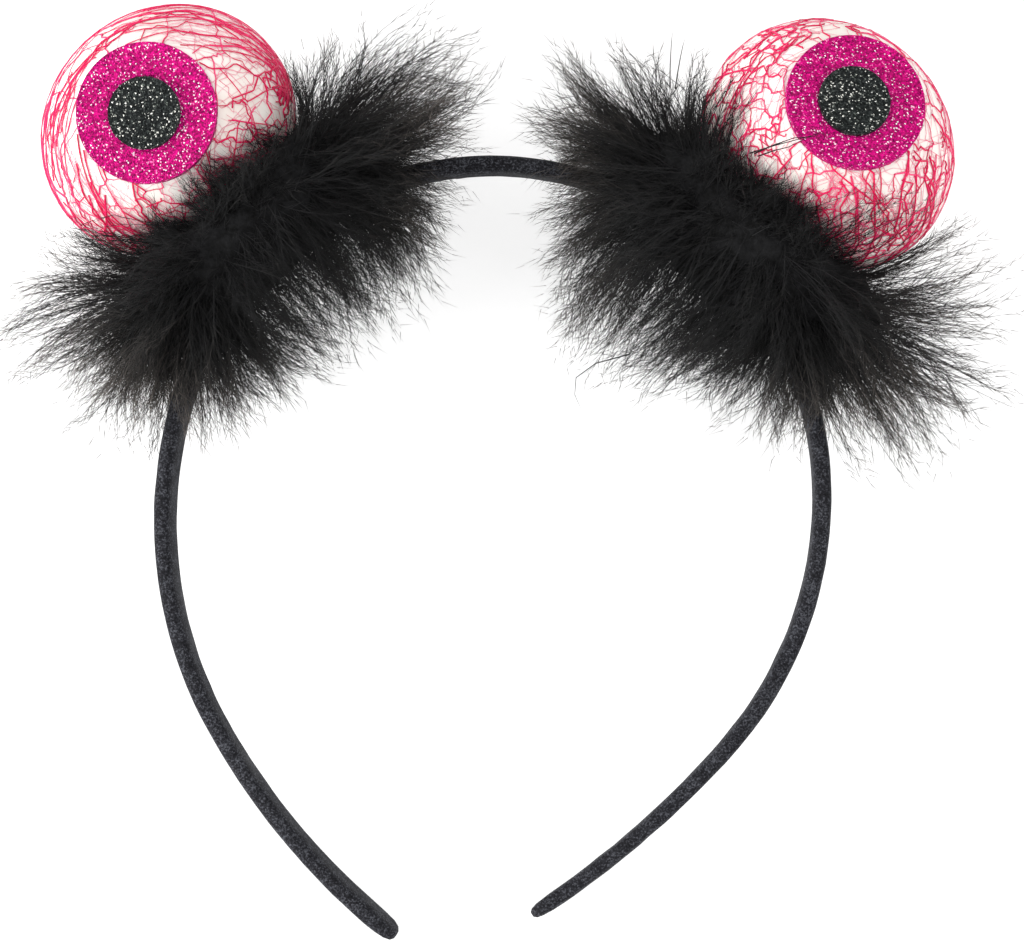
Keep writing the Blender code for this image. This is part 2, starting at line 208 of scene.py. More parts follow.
bpy.ops.curve.primitive_bezier_curve_add(radius=1.0)
band = bpy.context.object
band.name = "satin_band"
knots = band_knots(-1)[::-1] + [(1, 0.0, 1.0)] + band_knots(1)
strip = band.data.splines[0]
strip.bezier_points.add(len(knots) - len(strip.bezier_points))
line = [band_place(side, distance)[0] for side, distance, _ in knots]
for k, (side, distance, size) in enumerate(knots):
    point, outward, lean = band_place(side, distance)
    tangent = Vector((outward.y, -outward.x, 0.0))
    knot = strip.bezier_points[k]
    knot.handle_left_type = "FREE"
    knot.handle_right_type = "FREE"
    knot.co = (point.x, point.y, 0.0)
    back = (line[k] - line[max(k - 1, 0)]).length / 3
    ahead = (line[min(k + 1, len(line) - 1)] - line[k]).length / 3
    knot.handle_left = knot.co - tangent * max(back, ahead * LEAST_HANDLE)
    knot.handle_right = knot.co + tangent * max(ahead, back * LEAST_HANDLE)
    knot.radius = size
    knot.tilt = -radians(lean)
band.data.dimensions = "3D"
band.data.twist_mode = "Z_UP"
band.data.resolution_u = STRIP_STEPS
strip.resolution_u = STRIP_STEPS
band.data.bevel_mode = "OBJECT"
band.data.bevel_object = band_section
band.data.use_fill_caps = True
bpy.ops.object.select_all(action="DESELECT")
band.select_set(True)
bpy.context.view_layer.objects.active = band
bpy.ops.object.convert(target="MESH")
bpy.data.objects.remove(band_section)

# The satin is drawn tight, with faint ripples.
ripples = bpy.data.textures.new("satin_ripples", "CLOUDS")
ripples.noise_scale = RIPPLE_SIZE
ripples.noise_depth = 1
ripple = band.modifiers.new("ripples", "DISPLACE")
ripple.texture = ripples
ripple.strength = RIPPLE_HEIGHT
ripple.mid_level = 0.5
bpy.ops.object.modifier_apply(modifier=ripple.name)
bpy.ops.object.shade_smooth_by_angle(angle=radians(55))
settle(band, lying)
stand_on_floor(band, BAND_SEAT)

satin, shader = start_finish("black_satin")
place = object_points(satin)
uv = add_node(satin, "ShaderNodeTexCoord").outputs["UV"]
# The mottle and speckle lift the black satin's colour to pale bluish grey in small specks: painted
# sheen, standing for the glints of the satin's weave. The speckle also drives the weave's real
# bump.
mottle = noise(satin, place, 420.0, 5.0, 0.7)
cloudy = noise(satin, place, 75.0, 3.0)
speckle = noise(satin, place, 2400.0, 2.0, 0.8)
painted_sheen_specks = add_node(satin, "ShaderNodeMix", {"Factor": 0.72, "A": mottle, "B": speckle})
weave = add_node(satin, "ShaderNodeTexWave", {
    "Vector": uv, "Scale": 260.0, "Distortion": 1.5, "Detail": 2.0})
woven = bump_from(satin, weave.outputs["Fac"], 0.25, 0.0001)
# The top stop of the base colour ramp, pale bluish grey, is painted sheen over the black satin.
set_inputs(satin, shader, {
    "Base Color": colour_ramp(
        satin, painted_sheen_specks.outputs["Result"],
        (0.36, (0.004, 0.004, 0.005)), (0.50, (0.012, 0.012, 0.015)),
        (0.64, (0.075, 0.078, 0.090))),
    "Roughness": grey_ramp(satin, cloudy, (0.35, 0.88), (0.65, 0.66)),
    "Normal": bump_from(satin, speckle, 0.35, 0.0001, woven),
    "Specular IOR Level": 0.10,
    "Sheen Weight": 0.02,
    "Sheen Roughness": 0.35,
    "Sheen Tint": (0.75, 0.78, 0.9, 1.0)})
band.data.materials.clear()
band.data.materials.append(satin)
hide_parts("band")
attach(band, "root")


# The eyeballs.
# Two hard foam balls covered in white cloth, each on one shoulder of the band. Each is cut flat in
# front, where the iris is glued on, and is a little lower than wide.

BALL_RADIUS = 0.0256
BALL_SQUASH = 0.905             # height off the strip, as a share of the width
FACET_DISTANCE = 0.0215         # from the ball's centre to its flat front
RIM_ROUNDING = 0.0007
ON_FACET = 1e-6                 # how near to the flat front its rim's points lie

# Columns: name, side (-1 left, 1 right), distance along the band from the crown as a share of
# HEAD_RADIUS, height of the ball's centre over the strip's middle line, how far the iris looks
# out and up in degrees.
EYES = (
    ("left", -1, 0.7517, 0.0311, 3.2, 1.2),
    ("right", 1, 0.750, 0.0300, 7.0, 14.4),
)


def eye_foot(side, station, height):
    """The ball's centre over its place on the strip, and the way out from the strip."""
    point, outward, _ = band_place(side, station * HEAD_RADIUS)
    return point + outward * height, outward


highest_eye = max(eye_foot(*row[1:4])[0].y for row in EYES)


def eye_place(side, station, height):
    """Matrix from the eye to the band: X along the strip, Y out from it, Z to the viewer."""
    centre, outward = eye_foot(side, station, height)
    up = Vector((outward.x, outward.y, 0.0))
    viewer = Vector((0.0, 0.0, 1.0))
    turn = Matrix((up.cross(viewer), up, viewer)).transposed().to_4x4()
    lift = (highest_eye - centre.y) * tan(LAY_ANGLE)
    return Matrix.Translation((centre.x, centre.y, lift)) @ turn


eyes = []
for name, side, station, height, out_angle, up_angle in EYES:
    place = eye_place(side, station, height)
    gaze = Vector((side * tan(radians(out_angle)), tan(radians(up_angle)), 1.0)).normalized()
    eyes.append((name, side, place, place.to_3x3().transposed() @ gaze))

foam, shader = start_finish("white_cloth_on_foam")
place = object_points(foam)
stain = noise(foam, place, 70.0, 4.0, 0.6)
nap = noise(foam, place, 1500.0, 3.0)
set_inputs(foam, shader, {
    "Base Color": colour_ramp(
        foam, stain,
        (0.30, (0.80, 0.72, 0.66)), (0.48, (0.85, 0.80, 0.75)), (0.70, (0.88, 0.85, 0.81))),
    "Roughness": grey_ramp(foam, nap, (0.3, 0.72), (0.7, 0.55)),
    "Normal": bump_from(foam, nap, 0.3, 0.0001),
    "Specular IOR Level": 0.25})

for name, _, place, gaze in eyes:
    bpy.ops.mesh.primitive_uv_sphere_add(segments=96, ring_count=60, radius=BALL_RADIUS)
    ball = bpy.context.object
    ball.name = name + "_ball"
    bpy.ops.object.mode_set(mode="EDIT")
    bpy.ops.mesh.select_all(action="SELECT")
    bpy.ops.transform.resize(value=(1.0, BALL_SQUASH, 1.0))
    bpy.ops.mesh.bisect(
        plane_co=gaze * FACET_DISTANCE, plane_no=gaze, use_fill=True, clear_outer=True)
    shape = bmesh.from_edit_mesh(ball.data)
    for part in (shape.verts, shape.edges, shape.faces):
        for item in part:
            item.select = False
    for edge in shape.edges:
        edge.select = all(
            abs(vert.co.dot(gaze) - FACET_DISTANCE) < ON_FACET for vert in edge.verts)
    shape.select_flush_mode()
    bmesh.update_edit_mesh(ball.data)
    bpy.ops.mesh.bevel(offset=RIM_ROUNDING, segments=3, affect="EDGES")
    bpy.ops.object.mode_set(mode="OBJECT")
    bpy.ops.object.shade_smooth_by_angle(angle=radians(40))
    settle(ball, lying @ place)
    ball.data.materials.append(foam)
    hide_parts(name + "_eyeball")
    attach(ball, "root")
    ball.select_set(False)


# The vein nets.
# A web of crimson fibres stretched over each ball, thick strands over finer pink ones. It is
# gathered at the ball's foot, where it is tied and glued to the band.

VEIN_LIFT = 0.00012             # of a strand's middle line over the ball
FLOW_LIFT = 0.00017             # of a long strand's, which lies over the others
WEB_SEAT = 0.00003              # of the web's lowest point over the floor
WEB_RADII = {"left": (0.00006, 0.00015), "right": (0.00008, 0.00019)}
FINE_RADII = (0.00003, 0.00006)
BARE_ANGLE = radians(28)        # strands nearer to the gaze would lie under the iris
DRAWN_SHARE = 0.86              # of the open web's strands
WEB_SEEDS = {"left": 11, "right": 12}

# The threads of the gathered foot. Columns: drop under the ball's centre, reach from its middle.
NECK = ((0.0213, 0.0100), (0.0232, 0.0056), (0.0248, 0.0042), (0.0280, 0.0036))
NECK_THREADS = 30
THREAD_RADIUS = 0.0003

# Rows of cells round the gaze. Columns: angle from the gaze in degrees, cells in the row.
WEB_ROWS = {
    "left": (
        (0, 1), (24, 7), (40, 11), (55, 14), (70, 15), (85, 15), (100, 16), (115, 15), (130, 12),
        (145, 9), (161, 5), (180, 1)),
    "right": (
        (0, 1), (23, 9), (36, 14), (47, 18), (57, 20), (67, 21), (77, 21), (88, 20), (101, 19),
        (114, 17), (128, 14), (142, 10), (158, 6), (180, 1)),
}
FOOT_CROWDING = {"left": 0.66, "right": 0.25}   # how far the cells crowd together at the foot

# Patches of smaller cells. Columns: turn from the foot and its spread, angle from the gaze and its
# spread, all in degrees.
PATCHES = {
    "left": ((296, 26, 66, 16), (22, 30, 48, 12), (330, 25, 52, 14)),
    "right": ((276, 36, 46, 13), (50, 40, 62, 18), (104, 22, 54, 12), (314, 34, 46, 16)),
}
CELL_ANGLE = 9.0                # across one small cell, in degrees
PATCH_SHARE = 0.82              # of the strands that are drawn in a patch's middle

# Long strands of each web, which cross one another at sharp angles. Columns: how many, turn from
# the foot at the start and at the end, its spread, angle from the gaze at the start and at the
# end, its spread, all in degrees, least and greatest radius in mm, shade from crimson to pale.
FLOWS = {
    "left": (
        (2, 64, 250, 10, 76, 68, 4, 0.07, 0.12, 0.15, 0.50),
        (5, 67, 140, 7, 92, 64, 8, 0.07, 0.13, 0.10, 0.50),
        (8, 67, 172, 8, 92, 64, 9, 0.07, 0.14, 0.05, 0.50),
        (7, 67, 152, 8, 92, 44, 9, 0.07, 0.14, 0.05, 0.50),
        (6, 67, 100, 9, 92, 38, 9, 0.07, 0.14, 0.05, 0.50),
        (8, 160, 240, 16, 50, 56, 7, 0.07, 0.13, 0.10, 0.50),
        (7, 205, 268, 14, 44, 62, 7, 0.07, 0.14, 0.10, 0.50),
        (20, 60, 76, 6, 72, 94, 6, 0.10, 0.20, 0.05, 0.30),
        (13, 272, 322, 19, 38, 90, 8, 0.10, 0.20, 0.05, 0.40),
        (7, 215, 290, 16, 62, 84, 9, 0.08, 0.17, 0.10, 0.50),
        (16, 18, 28, 36, 32, 72, 6, 0.09, 0.19, 0.05, 0.45),
        (31, 67, 168, 16, 92, 58, 16, 0.02, 0.04, 0.75, 1.00),
        (70, 262, 322, 28, 38, 88, 10, 0.03, 0.06, 0.60, 1.00),
        (31, 67, 128, 16, 92, 46, 14, 0.03, 0.05, 0.70, 1.00),
        (45, 15, 30, 42, 32, 76, 8, 0.03, 0.06, 0.50, 0.95)),
    "right": (
        (3, 84, 172, 12, 80, 58, 9, 0.07, 0.12, 0.15, 0.50),
        (8, 92, 80, 14, 38, 88, 8, 0.10, 0.19, 0.05, 0.35),
        (5, 116, 84, 12, 46, 82, 9, 0.07, 0.14, 0.05, 0.45),
        (14, 36, 50, 26, 32, 84, 7, 0.10, 0.20, 0.05, 0.35),
        (6, 330, 350, 16, 34, 74, 8, 0.09, 0.18, 0.05, 0.40),
        (3, 195, 262, 18, 74, 70, 8, 0.07, 0.13, 0.15, 0.55),
        (5, 240, 318, 20, 50, 78, 12, 0.09, 0.17, 0.05, 0.45),
        (7, 262, 236, 18, 32, 74, 9, 0.10, 0.20, 0.05, 0.40),
        (95, 44, 58, 46, 32, 86, 8, 0.03, 0.06, 0.45, 0.90),
        (31, 90, 180, 24, 82, 62, 13, 0.02, 0.05, 0.70, 1.00),
        (44, 235, 325, 34, 46, 70, 18, 0.03, 0.05, 0.55, 0.95)),
}
WIDEST_SPAN = 140               # in degrees; rows that turn less run straight over the ball
SHORTEST_FLOW = 0.35            # shorter strands run their row's whole way
FLOW_KNOTS = 9                  # where a long strand changes its way
FLOW_WANDER = 0.034             # how far it strays there, as a share of the ball's radius


def gaze_axes(gaze):
    """The gaze, the way to the foot across it, and the third direction."""
    foot = Vector((0.0, -1.0, 0.0))
    foot = (foot - gaze * foot.dot(gaze)).normalized()
    return np.array(gaze), np.array(foot), np.array(gaze.cross(foot))


def round_gaze(axes, tilt, turn):
    """Directions at a tilt from the gaze and a turn from the foot, both in radians."""
    ahead, foot, across = axes
    tilt, turn = np.broadcast_arrays(tilt, turn)
    return (np.cos(tilt)[..., None] * ahead + np.sin(tilt)[..., None]
            * (np.cos(turn)[..., None] * foot + np.sin(turn)[..., None] * across))


def crackle(axes, rows, shift, crowding, chance):
    """The two ends of each strand. A strand parts two cells of the web."""
    hull = bmesh.new()
    for row, (tilt, cells) in enumerate(rows):
        spacing = rows[1][0] - rows[0][0] if row == 0 else tilt - rows[row - 1][0]
        for k in range(cells):
            sway = chance.uniform(-shift, shift, 2) if cells > 1 else (0.0, 0.0)
            turn = 2 * pi * (k + 0.5 * (row % 2) + sway[0]) / cells
            turn -= crowding * sin(turn)
            hull.verts.new(round_gaze(axes, radians(tilt + spacing * sway[1]), turn))
    bmesh.ops.convex_hull(hull, input=hull.verts)
    bmesh.ops.recalc_face_normals(hull, faces=hull.faces)
    bmesh.ops.triangulate(hull, faces=hull.faces)
    hull.normal_update()
    ends = [[face.normal[:] for face in edge.link_faces] for edge in hull.edges]
    hull.free()
    return np.array([pair for pair in ends if len(pair) == 2])


def small_cells(axes, patches, chance):
    """The ends of the strands of the small cells, which thin out round each patch."""
    rows = [(0, 1), (180, 1)]
    rows[1:1] = [(tilt, round(360 * sin(radians(tilt)) / CELL_ANGLE))
                 for tilt in np.arange(CELL_ANGLE, 180 - CELL_ANGLE / 2, CELL_ANGLE)]
    ends = crackle(axes, rows, 0.44, 0.0, chance)
    mean = ends.mean(axis=1)
    tilt = np.degrees(np.arccos(np.clip(mean @ axes[0], -1, 1)))
    turn = np.degrees(np.arctan2(mean @ axes[2], mean @ axes[1])) % 360
    share = np.zeros(len(ends))
    for turn_at, turn_spread, tilt_at, tilt_spread in patches:
        aside = (turn - turn_at + 180) % 360 - 180
        near = np.exp(-(aside / turn_spread) ** 4 - ((tilt - tilt_at) / tilt_spread) ** 4)
        share = np.maximum(share, near)
    return ends[chance.uniform(0, 1, len(ends)) < PATCH_SHARE * share]


def over_ball(directions, gaze, lift=VEIN_LIFT):
    """Points a little over the ball, or over its flat front, in the given directions."""
    towards = directions @ np.array(gaze)
    reach = (BALL_RADIUS + lift) / np.sqrt(1 + (BALL_SQUASH ** -2 - 1) * directions[..., 1] ** 2)
    front = towards > 0.5
    reach[front] = np.minimum(reach[front], (FACET_DISTANCE + lift) / towards[front])
    return directions * reach[..., None]


def flow_lines(axes, row, steps, chance):
    """The long strands of one row on the unit ball, which wander and have a few sharp kinks."""
    count, turn_from, turn_to, turn_spread, tilt_from, tilt_to, tilt_spread = row[:7]
    share = np.linspace(0.0, 1.0, steps)
    drawn = np.sort(chance.uniform(-0.1, 1.1, (count, 2)), axis=1)
    drawn[drawn[:, 1] - drawn[:, 0] < SHORTEST_FLOW] = (0.0, 1.0)
    along = (drawn[:, :1] + (drawn[:, 1:] - drawn[:, :1]) * share)[..., None]
    start = chance.normal(0.0, 1.0, (count, 2)) * (turn_spread, tilt_spread)
    end = start * 0.4 + chance.normal(0.0, 0.8, (count, 2)) * (turn_spread, tilt_spread)
    turns = np.radians(np.stack((turn_from + start[:, 0], turn_to + end[:, 0]), axis=-1))
    tilts = np.radians(np.stack((tilt_from + start[:, 1], tilt_to + end[:, 1]), axis=-1))
    ends = round_gaze(axes, tilts, turns)
    if abs(turn_to - turn_from) < WIDEST_SPAN:
        lines = ends[:, :1] * (1 - along) + ends[:, 1:] * along
    else:
        tilt = tilts[:, :1] * (1 - along[..., 0]) + tilts[:, 1:] * along[..., 0]
        turn = turns[:, :1] * (1 - along[..., 0]) + turns[:, 1:] * along[..., 0]
        lines = round_gaze(axes, tilt, turn)
    aside = np.cross(lines[:, -1] - lines[:, 0], lines.mean(axis=1))
    aside /= np.linalg.norm(aside, axis=-1, keepdims=True)
    knots = np.linspace(0.0, 1.0, FLOW_KNOTS)
    for k in range(count):
        knots[1:-1] = np.sort(chance.uniform(0.0, 1.0, FLOW_KNOTS - 2))
        stray = chance.normal(0.0, FLOW_WANDER, FLOW_KNOTS)
        lines[k] += aside[k] * np.interp(share, knots, stray)[:, None]
    return lines / np.linalg.norm(lines, axis=-1, keepdims=True)


def kinked(ends, steps, kink, chance):
    """Each strand as a line with small sharp kinks, on the unit ball."""
    share = np.linspace(0.0, 1.0, steps)
    share = np.tile(share, (len(ends), 1))
    share[:, 1:-1] += chance.uniform(-0.3, 0.3, (len(ends), steps - 2)) / (steps - 1)
    lines = ends[:, None, 0] * (1 - share[..., None]) + ends[:, None, 1] * share[..., None]
    chord = ends[:, 1] - ends[:, 0]
    across = np.cross(chord, ends.mean(axis=1))
    sway = chance.normal(0.0, kink, (len(ends), steps))
    sway[:, 0] = 0.0
    sway[:, -1] = 0.0
    lines += across[:, None] * sway[..., None]
    return lines / np.linalg.norm(lines, axis=-1, keepdims=True)


def tubes(paths, radii, sides, shades, pointed=False):
    """Closed tubes along many lines at once: their points, faces, and a shade for each point."""
    count, steps, _ = paths.shape
    run = np.gradient(paths, axis=1)
    run /= np.linalg.norm(run, axis=-1, keepdims=True)
    mean = paths[:, -1] - paths[:, 0]
    odd = np.cross(mean, (0.31, 0.52, 0.79))
    side = np.cross(run, np.broadcast_to(odd[:, None], run.shape))
    side /= np.linalg.norm(side, axis=-1, keepdims=True)
    up = np.cross(run, side)
    turn = 2 * pi * np.arange(sides) / sides
    ring = np.cos(turn)[:, None] * side[:, :, None] + np.sin(turn)[:, None] * up[:, :, None]
    points = paths[:, :, None] + ring * np.asarray(radii)[..., None, None]
    whole = steps - 1 if pointed else steps
    points = points[:, :whole]
    per_tube = whole * sides + (1 if pointed else 0)
    if pointed:
        points = np.concatenate((points.reshape(count, -1, 3), paths[:, -1:]), axis=1)
        tone = np.concatenate((np.repeat(shades[:, :whole], sides, axis=1), shades[:, -1:]), axis=1)
    else:
        points = points.reshape(count, -1, 3)
        tone = np.repeat(shades, sides, axis=1)
    k = np.arange(sides)
    after = (k + 1) % sides
    rows = np.arange(whole - 1)[:, None] * sides
    quads = np.stack((rows + k, rows + after, rows + after + sides, rows + k + sides), axis=-1)
    groups = [quads.reshape(-1, 4), k[None, ::-1]]
    last = (whole - 1) * sides
    if pointed:
        groups.append(np.stack((last + k, last + after, np.full(sides, last + sides)), axis=-1))
    else:
        groups.append(last + k[None])
    first = np.arange(count)[:, None, None] * per_tube
    faces = [(first + group[None]).reshape(-1, group.shape[-1]) for group in groups]
    return points.reshape(-1, 3), faces, tone.ravel()


def joined(name, parts, material, smooth=True):
    """One object from many small closed shapes, with a shade on each point."""
    points, corners, sizes, tones = [], [], [], []
    offset = 0
    for co, groups, tone in parts:
        for group in groups:
            corners.append((group + offset).ravel())
            sizes.append(np.full(len(group), group.shape[-1]))
        points.append(co)
        tones.append(tone)
        offset += len(co)
    corners = np.concatenate(corners).astype(np.int32)
    sizes = np.concatenate(sizes).astype(np.int32)
    mesh = bpy.data.meshes.new(name)
    mesh.vertices.add(offset)
    mesh.vertices.foreach_set("co", np.concatenate(points).astype(np.float32).ravel())
    mesh.loops.add(len(corners))
    mesh.loops.foreach_set("vertex_index", corners)
    mesh.polygons.add(len(sizes))
    mesh.polygons.foreach_set("loop_start", (np.cumsum(sizes) - sizes).astype(np.int32))
    mesh.polygons.foreach_set("loop_total", sizes)
    mesh.update(calc_edges=True)
    mesh.validate()
    shade = mesh.attributes.new("shade", "FLOAT", "POINT")
    shade.data.foreach_set("value", np.concatenate(tones).astype(np.float32))
    if smooth:
        mesh.shade_smooth()
    mesh.materials.append(material)
    piece = bpy.data.objects.new(name, mesh)
    bpy.context.scene.collection.objects.link(piece)
    return piece


def even_tone(values, steps):
    """The same shade at each of a line's points."""
    return np.repeat(np.asarray(values)[:, None], steps, axis=1)


def shade_of(material):
    return add_node(material, "ShaderNodeAttribute", attribute_name="shade").outputs["Fac"]


vein, shader = start_finish("crimson_web")
fibre = noise(vein, object_points(vein), 900.0, 3.0)
own = add_node(vein, "ShaderNodeMath", {0: shade_of(vein), 1: 0.82}, operation="MULTIPLY")
grain = add_node(vein, "ShaderNodeMath", {0: fibre, 1: 0.18}, operation="MULTIPLY")
tone = add_node(vein, "ShaderNodeMath", {0: own.outputs[0], 1: grain.outputs[0]}, operation="ADD")
set_inputs(vein, shader, {
    "Base Color": colour_ramp(
        vein, tone.outputs[0],
        (0.0, (0.52, 0.001, 0.045)), (0.30, (0.76, 0.007, 0.10)), (0.55, (0.87, 0.07, 0.21)),
        (0.80, (0.91, 0.37, 0.48)), (1.0, (0.92, 0.65, 0.70))),
    "Roughness": grey_ramp(vein, fibre, (0.3, 0.55), (0.7, 0.38)),
    "Normal": bump_from(vein, fibre, 0.4, 0.00005),
    "Specular IOR Level": 0.2})

for name, _, place, gaze in eyes:
    chance = np.random.default_rng(WEB_SEEDS[name])
    axes = gaze_axes(gaze)
    parts = []
    # The open web, whose cells crowd together towards the foot, over a finer one. Columns: how
    # far a cell is off its place, radii, shades, how strongly a strand kinks.
    for shift, radii, shades, kink in (
            (0.42, WEB_RADII[name], (0.10, 0.60), 0.06), (0.46, FINE_RADII, (0.5, 0.95), 0.09)):
        strands = crackle(axes, WEB_ROWS[name], shift, FOOT_CROWDING[name], chance)
        strands = strands[(strands @ axes[0]).min(axis=1) < cos(BARE_ANGLE)]
        strands = strands[chance.uniform(0, 1, len(strands)) < DRAWN_SHARE]
        lines = over_ball(kinked(strands, 7, kink, chance), gaze)
        thick = chance.uniform(*radii, len(strands))[:, None]
        thick = thick * (1 + chance.uniform(-0.2, 0.3, lines.shape[:2]))
        parts.append(tubes(lines, thick, 4, even_tone(chance.uniform(*shades, len(strands)), 7)))

    # The patches of small cells.
    strands = small_cells(axes, PATCHES[name], chance)
    lines = over_ball(kinked(strands, 5, 0.08, chance), gaze)
    thick = chance.uniform(*WEB_RADII[name], len(strands))[:, None] * np.ones(5)
    parts.append(tubes(lines, thick, 4, even_tone(chance.uniform(0.05, 0.65, len(strands)), 5)))

    # The long strands. The fine ones, in rows of many, have fewer steps and sides.
    for row in FLOWS[name]:
        count = row[0]
        thin, wide, strong, pale = row[7:]
        steps = 24 if count < 30 else 12
        sides = 5 if wide > 0.1 else 3
        lines = over_ball(flow_lines(axes, row, steps, chance), gaze, FLOW_LIFT)
        thick = chance.uniform(thin, wide, (count, 1)) / 1000
        thick = thick * (1 + chance.uniform(-0.25, 0.25, lines.shape[:2]))
        shades = even_tone(chance.uniform(strong, pale, count), steps)
        parts.append(tubes(lines, thick, sides, shades))

    # The gathered foot runs down to the strip.
    turn = np.linspace(0.0, 2 * pi, NECK_THREADS, endpoint=False)
    turn += chance.uniform(-0.1, 0.1, NECK_THREADS)
    drop, reach = np.array(NECK).T[..., None]
    around = np.stack((np.cos(turn), np.zeros(NECK_THREADS), np.sin(turn)), axis=-1)
    lines = around[:, None] * reach - np.array((0.0, 1.0, 0.0)) * drop
    shades = even_tone(chance.uniform(0.1, 0.5, NECK_THREADS), len(NECK))
    parts.append(tubes(lines, np.full(shades.shape, THREAD_RADIUS), 5, shades))

    web = joined(name + "_web", parts, vein)
    settle(web, lying @ place)
    stand_on_floor(web, WEB_SEAT)
    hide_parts(name + "_vein_net")
    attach(web, "root")


# The irises and pupils.
# Discs of craft foam under a crust of glitter, magenta for the iris and black for the pupil, glued
# one on the other on the ball's flat front. The flakes lie close, tipped each its own way.

IRIS_SEAT = 0.0216              # from the ball's centre
IRIS_RADIUS = 0.01325
IRIS_THICKNESS = 0.0016
PUPIL_SEAT = 0.0232
PUPIL_RADIUS = 0.0068
PUPIL_THICKNESS = 0.0010
# How far each pupil was glued off the iris's middle, along the strip and out from it.
PUPIL_OFFSET = {"left": (-0.0003, 0.0), "right": (-0.0002, -0.0005)}
RIM_WIDTH = 0.0003
RIM_RISE = 0.00008              # of a disc's rim over the middle of its front
FLAKE_SIZES = (0.00016, 0.00034)
FLAKE_THICKNESS = 0.00009
FLAKE_TIPPING = 0.28            # spread of a flake's lean, sideways over outwards
FLAKES = {"iris": 4000, "pupil": 1150}
EDGE_FLAKES = 7                 # one flake on the edge for this many on the front
FLAKE_SEEDS = {"iris": {"left": 40, "right": 42}, "pupil": {"left": 50, "right": 52}}


def spikes(feet, ways, lengths, radii, shades):
    """Closed three-sided spikes, or flat flakes where they are short."""
    odd = np.cross(ways, (0.37, 0.61, 0.70))
    side = odd / np.linalg.norm(odd, axis=-1, keepdims=True)
    up = np.cross(ways, side)
    turn = 2 * pi * np.arange(3) / 3
    ring = np.cos(turn)[:, None] * side[:, None] + np.sin(turn)[:, None] * up[:, None]
    base = feet[:, None] + ring * np.asarray(radii)[:, None, None]
    tip = feet + ways * np.asarray(lengths)[:, None]
    points = np.concatenate((base, tip[:, None]), axis=1)
    faces = np.array(((0, 1, 3), (1, 2, 3), (2, 0, 3), (2, 1, 0)))
    faces = (np.arange(len(feet))[:, None, None] * 4 + faces).reshape(-1, 3)
    return points.reshape(-1, 3), [faces], np.repeat(shades, 4)


def glitter_finish(name, stops, crust_stops):
    """Flake colours by each flake's own random shade, whose palest stops are painted glints, and a
    crust of finer grains under the flakes.
    """
    flake, shader = start_finish(name + "_flakes")
    set_inputs(flake, shader, {
        "Base Color": colour_ramp(flake, shade_of(flake), *stops),
        "Metallic": 0.30,
        "Roughness": 0.5,
        "Specular IOR Level": 0.12})
    crust, shader = start_finish(name + "_crust")
    grain = add_node(crust, "ShaderNodeTexVoronoi", {
        "Vector": object_points(crust), "Scale": 3600.0})
    pick = add_node(crust, "ShaderNodeSeparateColor", {"Color": grain.outputs["Color"]})
    set_inputs(crust, shader, {
        "Base Color": colour_ramp(crust, pick.outputs["Red"], *crust_stops),
        "Roughness": grey_ramp(crust, pick.outputs["Green"], (0.0, 0.25), (1.0, 0.6)),
        "Normal": bump_from(crust, grain.outputs["Distance"], 0.6, 0.0002),
        "Specular IOR Level": 0.12})
    return crust, flake


# Each flake gets a random colour along the ramp. The magenta and pink stops are the glitter's own
# colour, and the near-white top stops are painted glints, flakes that catch the light.
magenta = glitter_finish(
    "magenta_glitter",
    ((0.0, (0.09, 0.0, 0.04)), (0.30, (0.34, 0.0, 0.12)), (0.58, (0.66, 0.001, 0.225)),
     (0.74, (0.90, 0.03, 0.35)), (0.86, (1.0, 0.32, 0.61)), (0.93, (1.0, 0.95, 0.97)),
     (1.0, (1.0, 1.0, 1.0))),
    ((0.0, (0.16, 0.0, 0.05)), (0.5, (0.42, 0.0, 0.12)), (1.0, (0.72, 0.0, 0.23))))
# The near-white top stops of the black glitter are painted glints as well, over the glitter's own
# near-black.
black = glitter_finish(
    "black_glitter",
    ((0.0, (0.002, 0.003, 0.003)), (0.45, (0.008, 0.010, 0.010)), (0.70, (0.034, 0.042, 0.040)),
     (0.84, (0.16, 0.18, 0.16)), (0.95, (0.90, 0.89, 0.82)), (1.0, (1.0, 1.0, 0.97))),
    ((0.0, (0.002, 0.003, 0.003)), (0.7, (0.010, 0.013, 0.013)), (1.0, (0.05, 0.056, 0.054))))


def foam_disc(name, radius, seat, thickness, crust):
    """A round disc, facing up over the origin, with a slightly raised rim."""
    bpy.ops.mesh.primitive_cylinder_add(
        vertices=96, radius=radius, depth=thickness, location=(0, 0, seat + thickness / 2))
    disc = bpy.context.object
    disc.name = name
    settle(disc, disc.matrix_world.copy())
    bpy.ops.object.mode_set(mode="EDIT")
    bpy.ops.mesh.select_all(action="DESELECT")
    shape = bmesh.from_edit_mesh(disc.data)
    for face in shape.faces:
        face.select = face.normal.z > 0.9
    bmesh.update_edit_mesh(disc.data)
    bpy.ops.mesh.inset(thickness=RIM_WIDTH, depth=0.0)
    bpy.ops.transform.translate(value=(0, 0, -RIM_RISE))
    bpy.ops.mesh.inset(thickness=RIM_WIDTH, depth=0.0)
    bpy.ops.object.mode_set(mode="OBJECT")
    bpy.ops.object.shade_smooth_by_angle(angle=radians(30))
    disc.data.materials.append(crust)
    disc.select_set(False)
    return disc


